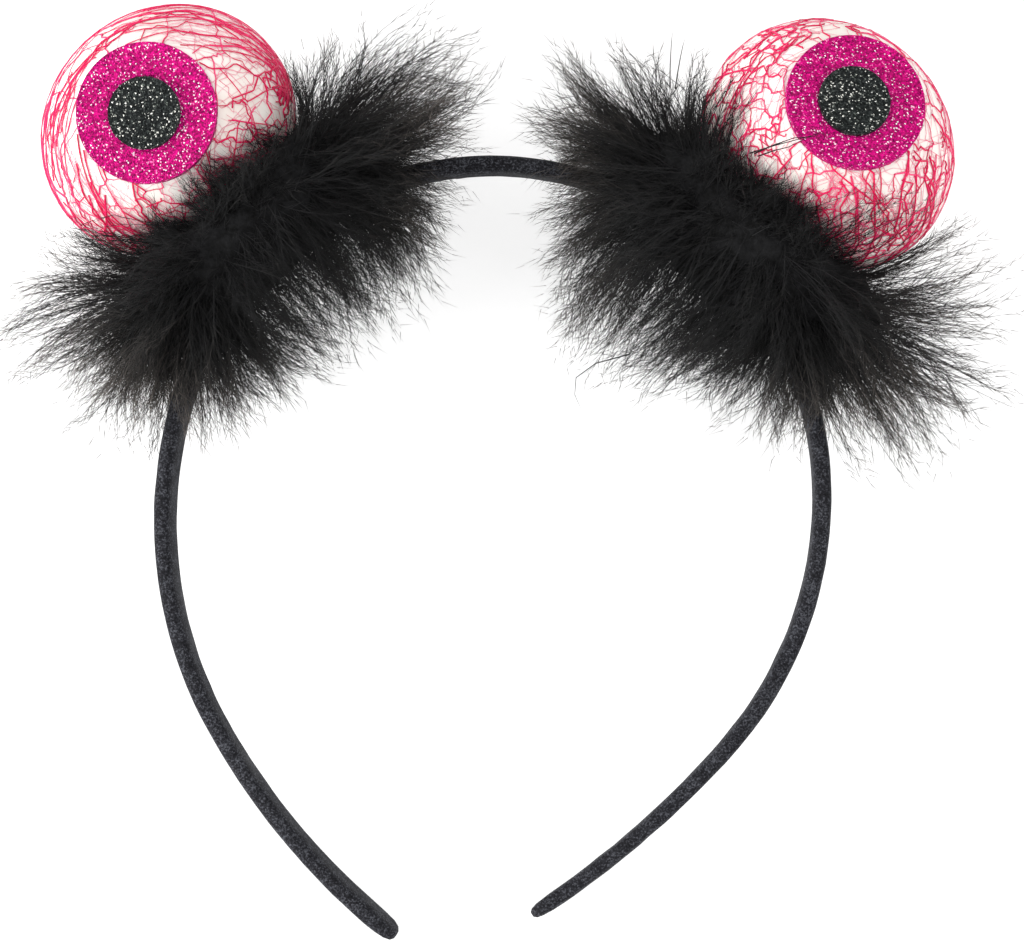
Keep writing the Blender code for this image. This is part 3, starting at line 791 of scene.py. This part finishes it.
def loose_glitter(name, radius, seat, thickness, flakes, flake, chance):
    """The flakes that stick to a disc's front and edge, each tipped its own way."""
    turn = chance.uniform(0.0, 2 * pi, flakes)
    reach = (radius - 0.0001) * np.sqrt(chance.uniform(0.0, 1.0, flakes))
    front = np.full(flakes, seat + thickness - FLAKE_THICKNESS)
    feet = np.stack((np.cos(turn) * reach, np.sin(turn) * reach, front), axis=-1)
    ways = np.stack((
        chance.normal(0, FLAKE_TIPPING, flakes), chance.normal(0, FLAKE_TIPPING, flakes),
        np.ones(flakes)), axis=-1)
    rim = flakes // EDGE_FLAKES
    turn = chance.uniform(0.0, 2 * pi, rim)
    height = chance.uniform(seat + 0.0001, seat + thickness - 0.0001, rim)
    edge = np.stack((np.cos(turn), np.sin(turn), np.zeros(rim)), axis=-1)
    edge_feet = edge * (radius - 0.00003)
    edge_feet[:, 2] = height
    feet = np.concatenate((feet, edge_feet))
    ways = np.concatenate((ways, edge + chance.normal(0, 0.25, (rim, 3))))
    ways /= np.linalg.norm(ways, axis=-1, keepdims=True)
    count = flakes + rim
    sizes = chance.uniform(*FLAKE_SIZES, count)
    shades = chance.uniform(0, 1, count)
    shapes = [spikes(feet, ways, np.full(count, FLAKE_THICKNESS), sizes, shades)]
    return joined(name, shapes, flake, smooth=False)


def glitter_disc(name, kind, radius, seat, thickness, finish, to_front):
    """A disc and its flakes, laid on a ball's flat front."""
    chance = np.random.default_rng(FLAKE_SEEDS[kind][name])
    crust, flake = finish
    disc = foam_disc(f"{name}_{kind}_disc", radius, seat, thickness, crust)
    glitter = loose_glitter(
        f"{name}_{kind}_glitter", radius, seat, thickness, FLAKES[kind], flake, chance)
    settle(disc, to_front)
    settle(glitter, to_front)
    return disc, glitter


for name, _, place, gaze in eyes:
    facing = gaze.to_track_quat("Z", "Y").to_matrix().to_4x4()
    iris = glitter_disc(
        name, "iris", IRIS_RADIUS, IRIS_SEAT, IRIS_THICKNESS, magenta, lying @ place @ facing)
    facing = Matrix.Translation((*PUPIL_OFFSET[name], 0.0)) @ facing
    pupil = glitter_disc(
        name, "pupil", PUPIL_RADIUS, PUPIL_SEAT, PUPIL_THICKNESS, black, lying @ place @ facing)
    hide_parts(name + "_iris")
    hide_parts(name + "_pupil")
    for piece in iris:
        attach(piece, "root")
    for piece in pupil:
        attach(piece, "root")


# The marabou trims.
# A ring of black marabou round each ball's foot, over its joint with the band: short downy plumes
# spun close on a cord. Each plume is a tuft of soft barbs, and each barb is fringed with down.

FEATHER_REACH = 0.0600
FEATHER_DEPTH = 0.0330
RING_RADIUS = 0.0165
RING_DROP = 0.02417             # of the ring's plane under the ball's centre
CORD_RADIUS = 0.0042
NET_RADIUS = 0.0260
FLOOR_GAP = 0.0005
LEAST_FLOOR_GAP = 0.0003        # of the core and the down
IRIS_GAP = 0.0004               # between the plumes and the iris's edge
STRIP_SIDE_GAP = 0.0009         # between the plumes and the strip's sides
STRIP_FACE_GAP = 0.0006         # and its edges, before and behind it

# Outline of each feather cloud seen from the front, about the middle of its ring.
# Columns: direction in degrees from the crown side, through outwards, share of FEATHER_REACH.
CLOUDS = {
    "left": (
        (0, 0.93), (24, 0.77), (50, 0.44), (70, 0.27), (90, 0.24), (110, 0.30), (130, 0.55),
        (145, 0.76), (158, 0.82), (170, 0.97), (191, 0.88), (224, 0.70), (241, 0.60), (283, 0.60),
        (324, 0.71), (350, 0.96)),
    "right": (
        (0, 0.85), (27, 0.70), (50, 0.44), (70, 0.30), (90, 0.27), (108, 0.36), (126, 0.74),
        (142, 0.92), (166, 1.00), (180, 1.04), (200, 0.88), (220, 0.70), (240, 0.56), (283, 0.73),
        (328, 0.67), (340, 0.83)),
}
TUFTS = 320
# How many more tufts stand out towards the arm's tip, and over what angle.
TIP_SIDE_TUFTS = {"left": 2.6, "right": 0.3}
TIP_SIDE_SPREAD = 0.35

# Of sixteen tufts, those combed along the band and those combed across it, all in front of it,
# and the short ones, which stand up round the ball's lower edge.
TUFTS_ALONG = (0, 8)
TUFTS_ACROSS = (4, 12, 14)
COLLAR_TUFTS = (2, 6, 10)
ALONG_WAYS = (radians(-18), radians(200))
ACROSS_WAYS = (radians(215), radians(325))
COLLAR_WIDTH = 0.011
COLLAR_HEIGHTS = (0.003, 0.0125)
BACK_DEPTH = 0.68               # of the trim behind its ring, as a share of FEATHER_DEPTH

TUFT_BARBS = 14
BARB_POINTS = 5
BARB_ROOT = 0.00012             # radius of a barb's root
BARB_THINNING = 0.80            # how much thinner it is at its tip
DOWN_PER_BARB = 14
DOWN_LENGTHS = (0.0070, 0.0034)   # at a barb's root and tip
DOWN_WIDTH = 0.000060
COVERED = 0.038                 # the plumes in front lie over the band up to here from the ring
TRIM_SEEDS = {"left": 70, "right": 72}

# Stray barbs that stand out of the trims, in the eye's frame: root, middle and tip, in metres.
STRAYS = {
    "right": (
        ((-0.0095, -0.0146, 0.0212), (-0.0052, -0.0070, 0.0289), (0.0001, -0.0015, 0.0252)),
        ((-0.0088, -0.0141, 0.0214), (-0.0062, -0.0076, 0.0287), (-0.0008, -0.0028, 0.0255)),
        ((-0.0080, -0.0140, 0.0214), (-0.0050, -0.0088, 0.0284), (-0.0022, -0.0043, 0.0258)),
        ((-0.0300, -0.0130, 0.002), (-0.0345, -0.0085, 0.003), (-0.0374, -0.0045, 0.003)),
        ((-0.0290, -0.0125, 0.001), (-0.0330, -0.0070, 0.002), (-0.0345, -0.0040, 0.002)),
        ((0.0004, -0.0560, 0.004), (-0.0095, -0.0690, 0.004), (0.0026, -0.0714, 0.004))),
}
STRAY_ROOT = 0.00016

# The barbs' tips get greyer from this far off the ring's middle, over this length: painted light,
# standing for light coming through the thin wisps of the fringe.
GREY_FROM = 0.020
GREY_LENGTH = 0.022
LEAST_GREY = 0.12

# The dark middle of a trim, which fills a share of its outline.
CORE_SHARE = 0.29
CORE_STEP = 0.0004
CORE_STEPS = 160
CORE_ROOM = 0.0006              # between it and the net
CORE_SEAT = 0.0012              # of its lowest point over the floor, before it gets its lumps
LUMP_SIZE = 0.004
LUMP_HEIGHT = 0.003

band_line = np.array([band_place(side, 0.0015 * k)[0][:] for side in ARMS for k in range(120)])


def cloud_reach(cloud, turn):
    """The cloud's outline in metres, for a direction in radians."""
    angles = np.array([row[0] for row in cloud] + [cloud[0][0] + 360.0])
    shares = np.array([row[1] for row in cloud] + [cloud[0][1]])
    return FEATHER_REACH * np.interp(np.degrees(turn) % 360.0, angles, shares)


def keep_clear(points, place, gaze, room, rise):
    """Moves plume points off the ball, the iris, the strip and the floor."""
    ahead = np.array(gaze)
    length = np.linalg.norm(points / (1.0, BALL_SQUASH, 1.0), axis=-1, keepdims=True)
    points = np.where(length < NET_RADIUS + room, points / length * (NET_RADIUS + room), points)
    height = points @ ahead
    flat = points - height[..., None] * ahead
    wide = np.linalg.norm(flat, axis=-1, keepdims=True)
    clear = IRIS_RADIUS + IRIS_GAP
    near = (height > FACET_DISTANCE - 0.001)[..., None] & (wide < clear)
    points = np.where(near, height[..., None] * ahead + flat / wide * clear, points)
    turn = np.array(place.to_3x3())
    spots = points @ turn.T + np.array(place.translation)
    flat_spots = spots[..., :2].reshape(-1, 2)
    nearest = np.full(len(flat_spots), np.inf)
    for point in band_line:
        nearest = np.minimum(nearest, ((flat_spots - point) ** 2).sum(axis=-1))
    close = (np.sqrt(nearest) < half_thick + STRIP_SIDE_GAP).reshape(spots.shape[:-1])
    past = np.hypot(points[..., 0], points[..., 1] + RING_DROP) > COVERED
    inside = close & (np.abs(spots[..., 2]) < half_wide + STRIP_FACE_GAP)
    level = np.where((spots[..., 2] > 0) & ~past, 1.0, -1.0) * (half_wide + STRIP_FACE_GAP)
    spots[..., 2] = np.where(inside | (close & past & (spots[..., 2] > 0)), level, spots[..., 2])
    world = spots @ np.array(lying.to_3x3()).T + np.array(lying.translation)
    world[..., 2] = np.maximum(world[..., 2], rise)
    return world


def grow_tufts(name, side, chance):
    """Roots, middles and tips of all barbs of one trim, tuft by tuft."""
    cloud = CLOUDS[name]
    turn = np.linspace(0.0, 2 * pi, 720, endpoint=False)
    dense = 1.5 - 0.7 * np.sin(turn)
    dense += TIP_SIDE_TUFTS[name] * np.exp(-((turn - pi) / TIP_SIDE_SPREAD) ** 2)
    weight = np.cumsum(cloud_reach(cloud, turn) * dense)
    picks = (np.arange(TUFTS) + chance.uniform(0, 1, TUFTS)) / TUFTS
    turn = np.interp(picks, weight / weight[-1], turn)
    rise = chance.uniform(-1.0, 1.0, TUFTS)
    kind = np.arange(TUFTS) % 16
    along = np.isin(kind, TUFTS_ALONG)
    across = np.isin(kind, TUFTS_ACROSS)
    combed = np.where(chance.uniform(0, 1, TUFTS) < 0.5, *ALONG_WAYS)
    turn = np.where(along, combed + chance.normal(0.0, 0.24, TUFTS), turn)
    turn = np.where(across, chance.uniform(*ACROSS_WAYS, TUFTS), turn)
    rise = np.where(along | across, chance.uniform(0.08, 0.75, TUFTS), rise)
    flat = (1 - rise ** 2) ** 0.28
    reach = cloud_reach(cloud, turn) * chance.uniform(0.84, 1.08, TUFTS) * flat
    depth = np.where(rise > 0, FEATHER_DEPTH, FEATHER_DEPTH * BACK_DEPTH)
    tips = np.stack((
        -side * np.cos(turn) * reach, np.sin(turn) * reach - RING_DROP,
        depth * rise * chance.uniform(0.7, 1.0, TUFTS)), axis=-1)
    # Of each three in the collar, the middle one stands behind the ball.
    collar = np.isin(kind, COLLAR_TUFTS)
    behind = kind == COLLAR_TUFTS[1]
    round_foot = np.where(
        behind, chance.uniform(3.3, 6.1, TUFTS), chance.uniform(0.05, 3.09, TUFTS))
    wide = RING_RADIUS + chance.uniform(0.0, COLLAR_WIDTH, TUFTS)
    raised = np.stack((
        np.cos(round_foot) * wide, chance.uniform(*COLLAR_HEIGHTS, TUFTS) - RING_DROP,
        np.sin(round_foot) * wide), axis=-1)
    tips = np.where(collar[:, None], raised, tips)
    ring = np.arctan2(
        tips[:, 2] + chance.normal(0, 0.004, TUFTS), tips[:, 0] + chance.normal(0, 0.004, TUFTS))
    bend = chance.normal(0.0, 0.12, (TUFTS, 3))

    many = TUFTS * TUFT_BARBS
    tips = np.repeat(tips, TUFT_BARBS, axis=0)
    ring = np.repeat(ring, TUFT_BARBS) + chance.normal(0.0, 0.22, many)
    bend = np.repeat(bend, TUFT_BARBS, axis=0) + chance.normal(0.0, 0.06, (many, 3))
    around = np.stack((np.cos(ring), np.zeros(many), np.sin(ring)), axis=-1)
    roots = around * RING_RADIUS - np.array((0.0, RING_DROP, 0.0))
    roots += chance.normal(0.0, CORD_RADIUS * 0.45, (many, 3))
    share = 1.0 - np.abs(chance.normal(0.0, 0.22, many))
    spread = chance.normal(0.0, 0.0011, (many, 3))
    spread = spread + (1 - share[:, None]) * chance.normal(0.0, 0.007, (many, 3))
    tips = roots + (tips - roots) * share[:, None] + spread
    length = np.linalg.norm(tips - roots, axis=-1, keepdims=True)
    middles = (roots + tips) / 2 + bend * length + around * length * 0.10
    return roots, middles, tips


def barb_lines(roots, middles, tips, chance):
    """Each barb as a bent line with a slight wave."""
    share = np.linspace(0.0, 1.0, BARB_POINTS)[None, :, None]
    lines = (roots[:, None] * (1 - share) ** 2 + middles[:, None] * 2 * share * (1 - share)
             + tips[:, None] * share ** 2)
    sway = chance.normal(0.0, 1.0, (len(roots), 1, 3))
    phase = chance.uniform(0.0, 2 * pi, (len(roots), 1, 1))
    return lines + sway * 0.0004 * share * np.sin(phase + 7.0 * share)


def barb_tubes(lines, root, shades):
    """Barbs that thin out towards their tips."""
    thick = root * (1 - BARB_THINNING * np.linspace(0.0, 1.0, BARB_POINTS))
    return tubes(lines, np.broadcast_to(thick, lines.shape[:2]), 3, shades, pointed=True)


def down_on(lines, chance):
    """Feet, ways, lengths and places along its barb of the fine down that fringes each barb."""
    count = len(lines)
    share = np.arange(DOWN_PER_BARB) + chance.uniform(0, 1, (count, DOWN_PER_BARB))
    share = 0.12 + 0.87 * (share / DOWN_PER_BARB)
    spot = share * (BARB_POINTS - 1)
    low = np.minimum(spot.astype(int), BARB_POINTS - 2)
    part = (spot - low)[..., None]
    row = np.arange(count)[:, None]
    feet = lines[row, low] * (1 - part) + lines[row, low + 1] * part
    run = lines[row, low + 1] - lines[row, low]
    run /= np.linalg.norm(run, axis=-1, keepdims=True)
    aside = chance.normal(0.0, 1.0, run.shape)
    aside -= (aside * run).sum(axis=-1, keepdims=True) * run
    aside /= np.linalg.norm(aside, axis=-1, keepdims=True)
    lean = np.radians(chance.uniform(8, 40, share.shape))[..., None]
    ways = run * np.cos(lean) + aside * np.sin(lean)
    long = DOWN_LENGTHS[0] + (DOWN_LENGTHS[1] - DOWN_LENGTHS[0]) * share
    long = long * chance.uniform(0.6, 1.2, share.shape)
    room = (LEAST_FLOOR_GAP - feet[..., 2]) / long
    ways[..., 2] = np.maximum(ways[..., 2], room)
    return feet.reshape(-1, 3), ways.reshape(-1, 3), long.ravel(), share.ravel()


# The dark stops are the marabou's own black. The grey-brown top stop, reached only on tips far off
# the ring, is painted light through the thin wisps.
feather, shader = start_finish("black_marabou")
set_inputs(feather, shader, {
    "Base Color": colour_ramp(
        feather, shade_of(feather),
        (0.0, (0.003, 0.003, 0.004)), (0.42, (0.008, 0.008, 0.008)),
        (0.72, (0.060, 0.052, 0.047)), (1.0, (0.22, 0.192, 0.172))),
    "Roughness": 0.7,
    "Specular IOR Level": 0.3})

core_down, shader = start_finish("matted_down")
matted = noise(core_down, object_points(core_down), 600.0, 5.0, 0.7)
set_inputs(core_down, shader, {
    "Base Color": colour_ramp(
        core_down, matted, (0.35, (0.003, 0.003, 0.003)), (0.7, (0.014, 0.014, 0.015))),
    "Roughness": 0.9,
    "Normal": bump_from(core_down, matted, 0.8, 0.0006),
    "Specular IOR Level": 0.1})

for name, side, place, gaze in eyes:
    chance = np.random.default_rng(TRIM_SEEDS[name])

    # The matted middle of the trim, which no light gets through.
    bpy.ops.mesh.primitive_torus_add(
        major_radius=RING_RADIUS, minor_radius=CORD_RADIUS, major_segments=120, minor_segments=40)
    core = bpy.context.object
    core.name = name + "_marabou_core"
    co = np.zeros(len(core.data.vertices) * 3)
    core.data.vertices.foreach_get("co", co)
    co = co.reshape(-1, 3)
    swing = np.stack((co[:, 0], co[:, 2], co[:, 1]), axis=-1)
    middle = np.stack((swing[:, 0], np.zeros(len(swing)), swing[:, 2]), axis=-1)
    middle *= RING_RADIUS / np.linalg.norm(middle, axis=-1, keepdims=True)
    ways = swing - middle
    ways /= np.linalg.norm(ways, axis=-1, keepdims=True)
    reach = np.full(len(ways), CORD_RADIUS)
    growing = np.ones(len(ways), bool)
    for _ in range(CORE_STEPS):
        spot = middle + ways * (reach[:, None] + CORE_STEP)
        outline = cloud_reach(CLOUDS[name], np.arctan2(spot[:, 1], -side * spot[:, 0]))
        wide = np.hypot(spot[:, 0], spot[:, 1]) / outline
        growing &= wide ** 2 + (spot[:, 2] / FEATHER_DEPTH) ** 2 < 1
        from_ball = (spot - np.array((0.0, RING_DROP, 0.0))) / (1.0, BALL_SQUASH, 1.0)
        growing &= np.linalg.norm(from_ball, axis=-1) > NET_RADIUS + 0.0005
        growing &= np.hypot(spot[:, 0], spot[:, 2]) > RING_RADIUS - CORD_RADIUS * 1.6
        reach[growing] += CORE_STEP
    reach = np.maximum(CORD_RADIUS * 0.8, reach * CORE_SHARE)
    swing = middle + ways * reach[:, None] - np.array((0.0, RING_DROP, 0.0))
    world = keep_clear(swing, place, gaze, CORE_ROOM, CORE_SEAT)
    core.data.vertices.foreach_set("co", world.astype(np.float32).ravel())
    core.data.update()
    lumps = bpy.data.textures.new(name + "_lumps", "CLOUDS")
    lumps.noise_scale = LUMP_SIZE
    lump = core.modifiers.new("lumps", "DISPLACE")
    lump.texture = lumps
    lump.strength = LUMP_HEIGHT
    lump.mid_level = 0.6
    bpy.ops.object.modifier_apply(modifier=lump.name)
    stand_on_floor(core, LEAST_FLOOR_GAP)
    bpy.ops.object.mode_set(mode="EDIT")
    bpy.ops.mesh.select_all(action="SELECT")
    bpy.ops.mesh.normals_make_consistent(inside=False)
    bpy.ops.object.mode_set(mode="OBJECT")
    bpy.ops.object.shade_smooth()
    core.data.materials.append(core_down)
    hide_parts(name + "_marabou_trim")
    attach(core, "root")
    core.select_set(False)

    # The plumes, in three pieces: those behind, those beside and those before.
    roots, middles, tips = grow_tufts(name, side, chance)
    lines = barb_lines(roots, middles, tips, chance)
    rise = FLOOR_GAP + np.abs(chance.normal(0.0, 0.0022, (len(lines), 1)))
    room = 0.0004 + np.abs(chance.normal(0.0, 0.0012, (len(lines), 1, 1)))
    lines = keep_clear(lines, place, gaze, room, rise)
    tone = chance.uniform(0.0, 0.32, len(lines))
    far = np.hypot(tips[:, 0], tips[:, 1] + RING_DROP)
    far = np.clip((far - GREY_FROM) / GREY_LENGTH, LEAST_GREY, 1.0)
    share = np.linspace(0.0, 1.0, BARB_POINTS)
    order = np.argsort(lines[:, -1, 2])
    for part, label in zip(np.array_split(order, 3), ("back", "side", "front")):
        # Tips far off the ring's middle get painted light, greyer towards their ends, on the barbs
        # and on their down.
        shades = tone[part, None] + 0.6 * far[part, None] * share ** 2
        barbs = barb_tubes(lines[part], BARB_ROOT, shades)
        feet, ways, long, along = down_on(lines[part], chance)
        shades = np.repeat(tone[part], DOWN_PER_BARB)
        shades = shades + 0.65 * np.repeat(far[part], DOWN_PER_BARB) * along ** 2
        shades = np.clip(shades + chance.uniform(0.0, 0.12, len(along)), 0.0, 1.0)
        shapes = [barbs, spikes(feet, ways, long, np.full(len(feet), DOWN_WIDTH), shades)]
        if label == "front" and name in STRAYS:
            stray = barb_lines(*np.array(STRAYS[name]).swapaxes(0, 1), chance)
            stray = stray @ np.array((lying @ place).to_3x3()).T
            stray += np.array((lying @ place).translation)
            shapes.append(barb_tubes(stray, STRAY_ROOT, np.full(stray.shape[:2], 0.2)))
        plume = joined(f"{name}_marabou_{label}", shapes, feather)
        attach(plume, "root")


# The floor, the light and the camera.
# A plain pale floor that the headband lies on, lit softly from all round. The camera looks down
# on it as in the photograph, from half a metre above the band.

FLOOR_SIZE = 6.0
bpy.ops.mesh.primitive_plane_add(size=FLOOR_SIZE, location=(0, 0, 0))
floor = bpy.context.object
floor.name = "pale_floor"
pale, shader = start_finish("pale_paper")
fleck = noise(pale, object_points(pale), 30.0, 2.0)
set_inputs(pale, shader, {
    "Base Color": grey_ramp(pale, fleck, (0.4, 0.43), (0.6, 0.45)),
    "Roughness": 1.0,
    "Specular IOR Level": 0.0,
    "Emission Color": (1.0, 1.0, 1.0, 1.0),
    "Emission Strength": 0.69})
floor.data.materials.append(pale)

world = bpy.data.worlds.new("studio")
bpy.context.scene.world = world
world.use_nodes = True
set_inputs(world, world.node_tree.nodes["Background"], {
    "Color": (1.0, 1.0, 1.0, 1.0), "Strength": 0.85})

# Columns: name, place, size in metres, power in watts.
for name, spot, size, power in (
        ("window_light", (-0.6, 0.5, 0.8), 0.6, 4.0),
        ("low_light", (-0.9, -0.30, 0.28), 0.5, 11.0),
        ("fill_light", (0.7, -0.5, 0.7), 0.6, 5.0)):
    bpy.ops.object.light_add(type="AREA", location=spot)
    lamp = bpy.context.object
    lamp.name = name
    lamp.data.size = size
    lamp.data.energy = power
    lamp.rotation_euler = (-Vector(spot)).to_track_quat("-Z", "Y").to_euler()

CAMERA_SPOT = Vector((0.003696, -0.05928, 0.5))     # in the band's frame
CAMERA_ROLL = radians(1.3)
bpy.ops.object.camera_add()
camera = bpy.context.object
camera.name = "photo_camera"
camera.matrix_world = lying @ Matrix.Translation(CAMERA_SPOT) @ Matrix.Rotation(CAMERA_ROLL, 4, "Z")
camera.data.lens = 90.0
camera.data.sensor_width = 36.0
camera.data.clip_start = 0.01
camera.data.clip_end = 20.0
bpy.context.scene.camera = camera
bpy.context.scene.view_settings.view_transform = "Standard"

bpy.context.view_layer.update()
